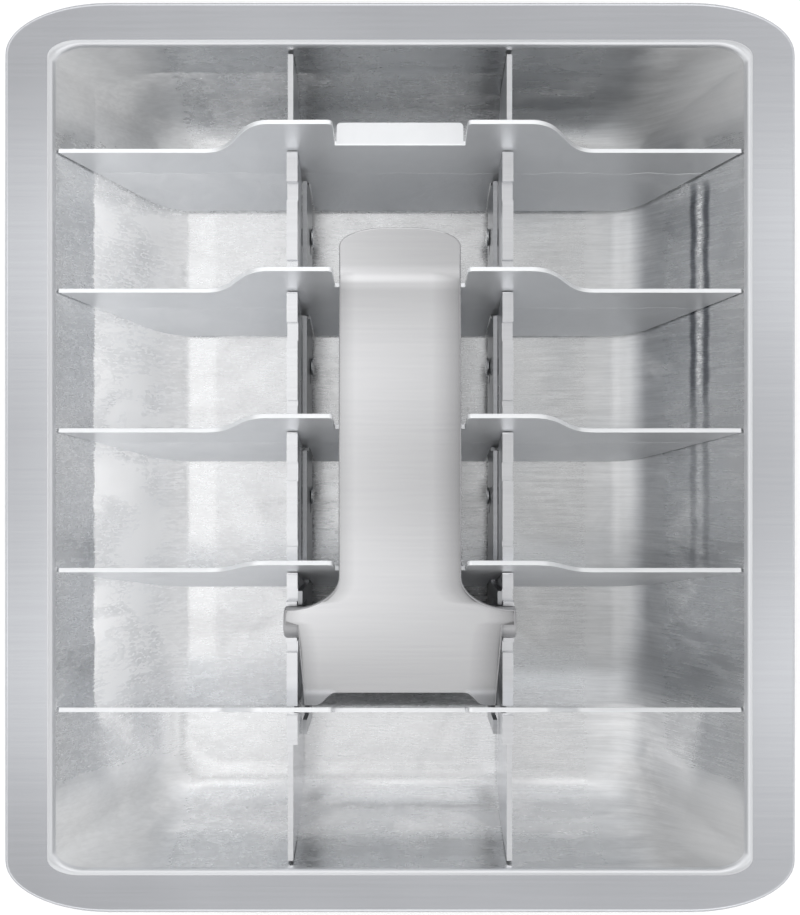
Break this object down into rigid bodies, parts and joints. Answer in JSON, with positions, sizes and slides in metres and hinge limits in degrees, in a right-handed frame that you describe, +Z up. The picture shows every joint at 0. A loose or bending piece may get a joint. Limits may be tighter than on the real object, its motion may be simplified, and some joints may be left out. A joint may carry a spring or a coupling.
{
  "type": "lever ice cube tray",
  "caption": "Flat-rimmed metal ice tray with sloping walls, a lift-out divider grid whose leaning cross blades tilt upright when a pressed lever is raised to free the cubes.",
  "frame": {"origin": "middle of the pan's underside, on the surface that it stands on", "axes": "+Y along the tray towards the lever's tip, +X across the tray, +Z up"},
  "size_m": [0.1738, 0.2, 0.0386],
  "materials": {
    "pan_steel": "brushed rim, bright pressed inside",
    "blade_metal": "satin sheet",
    "rail_metal": "satin sheet, bright folded top edge",
    "strip_metal": "satin sheet",
    "rivet_metal": "plain formed head",
    "lever_satin": "fine satin, matte light grey"
  },
  "bodies": {
    "pan": {"tray_pan": "pan_steel"},
    "grid": {"side_rail_left": "rail_metal", "side_rail_right": "rail_metal", "guide_rivets_left": "rivet_metal", "guide_rivets_right": "rivet_metal"},
    "lever": {"lever": "lever_satin"},
    "strip_left": {"draw_strip_left": "strip_metal"},
    "strip_right": {"draw_strip_right": "strip_metal"},
    "blade_1": {"blade_1": "blade_metal"},
    "blade_2": {"blade_2": "blade_metal"},
    "blade_3": {"blade_3": "blade_metal"},
    "blade_4": {"blade_4": "blade_metal"},
    "blade_5": {"blade_5": "blade_metal"}
  },
  "joints": [
    {"name": "grid_lift", "type": "slide", "parent": "pan", "child": "grid", "axis": [0, 0, 1], "range_m": [0, 0.05]},
    {"name": "lever_hinge", "type": "hinge", "parent": "grid", "child": "lever", "pos_m": [0, -0.0358, 0.03], "axis": [1, 0, 0], "range_deg": [0, 75]},
    {"name": "strip_left_slide", "type": "slide", "parent": "grid", "child": "strip_left", "axis": [0, 1, 0], "range_m": [0, 0.00309]},
    {"name": "strip_right_slide", "type": "slide", "parent": "grid", "child": "strip_right", "axis": [0, 1, 0], "range_m": [0, 0.00309]},
    {"name": "blade_1_tilt", "type": "hinge", "parent": "grid", "child": "blade_1", "pos_m": [0, 0.06793, 0.029], "axis": [1, 0, 0], "range_deg": [0, 14.2]},
    {"name": "blade_2_tilt", "type": "hinge", "parent": "grid", "child": "blade_2", "pos_m": [0, 0.03713, 0.029], "axis": [1, 0, 0], "range_deg": [0, 14.2]},
    {"name": "blade_3_tilt", "type": "hinge", "parent": "grid", "child": "blade_3", "pos_m": [0, 0.00633, 0.029], "axis": [1, 0, 0], "range_deg": [0, 14.2]},
    {"name": "blade_4_tilt", "type": "hinge", "parent": "grid", "child": "blade_4", "pos_m": [0, -0.02447, 0.029], "axis": [1, 0, 0], "range_deg": [0, 14.2]},
    {"name": "blade_5_tilt", "type": "hinge", "parent": "grid", "child": "blade_5", "pos_m": [0, -0.05527, 0.029], "axis": [1, 0, 0], "range_deg": [0, 14.2]}
  ],
  "couplings": [
    {"joint": "strip_left_slide", "follows": "lever_hinge", "m_per_rad": 0.0023484},
    {"joint": "strip_right_slide", "follows": "lever_hinge", "m_per_rad": 0.0023484},
    {"joint": "blade_1_tilt", "follows": "lever_hinge", "ratio": 0.18933},
    {"joint": "blade_2_tilt", "follows": "lever_hinge", "ratio": 0.18933},
    {"joint": "blade_3_tilt", "follows": "lever_hinge", "ratio": 0.18933},
    {"joint": "blade_4_tilt", "follows": "lever_hinge", "ratio": 0.18933},
    {"joint": "blade_5_tilt", "follows": "lever_hinge", "ratio": 0.18933}
  ]
}
